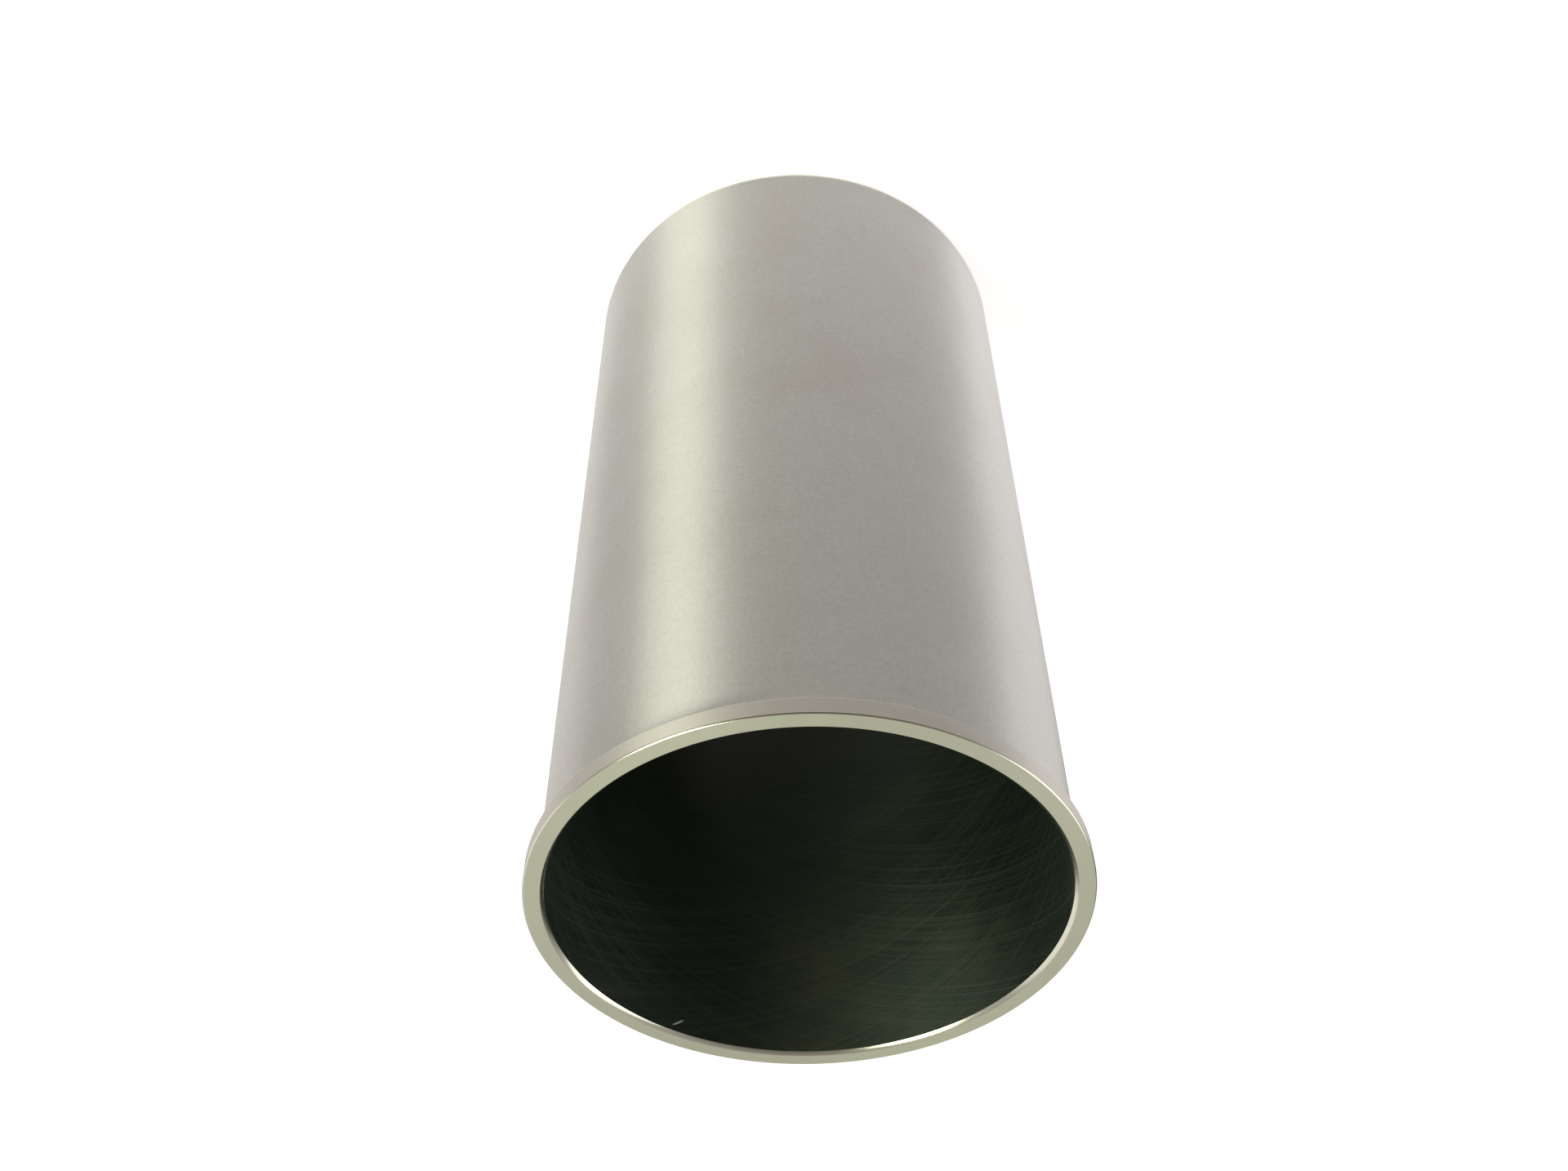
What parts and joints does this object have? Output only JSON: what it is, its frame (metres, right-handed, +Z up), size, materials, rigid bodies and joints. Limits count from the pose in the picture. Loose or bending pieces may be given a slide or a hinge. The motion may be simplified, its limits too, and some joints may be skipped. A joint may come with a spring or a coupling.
{
  "type": "cylinder liner",
  "caption": "Thin-walled dry liner with a narrow locating flange, ground outside and honed inside, for the cylinder bore of a diesel engine block.",
  "frame": {"origin": "on the bore's axis, in the plane of the plain lower end that the liner stands on", "axes": "+Z up along the bore towards the flanged top face; X and Y are free, because the liner is a body of revolution"},
  "size_m": [0.1136, 0.1136, 0.197],
  "materials": {
    "ground_cast_iron": "ground satin outside, turned top face and chamfers, dark phosphated and cross-hatch honed bore"
  },
  "bodies": {
    "root": {"cylinder_liner": "ground_cast_iron"}
  },
  "joints": []
}
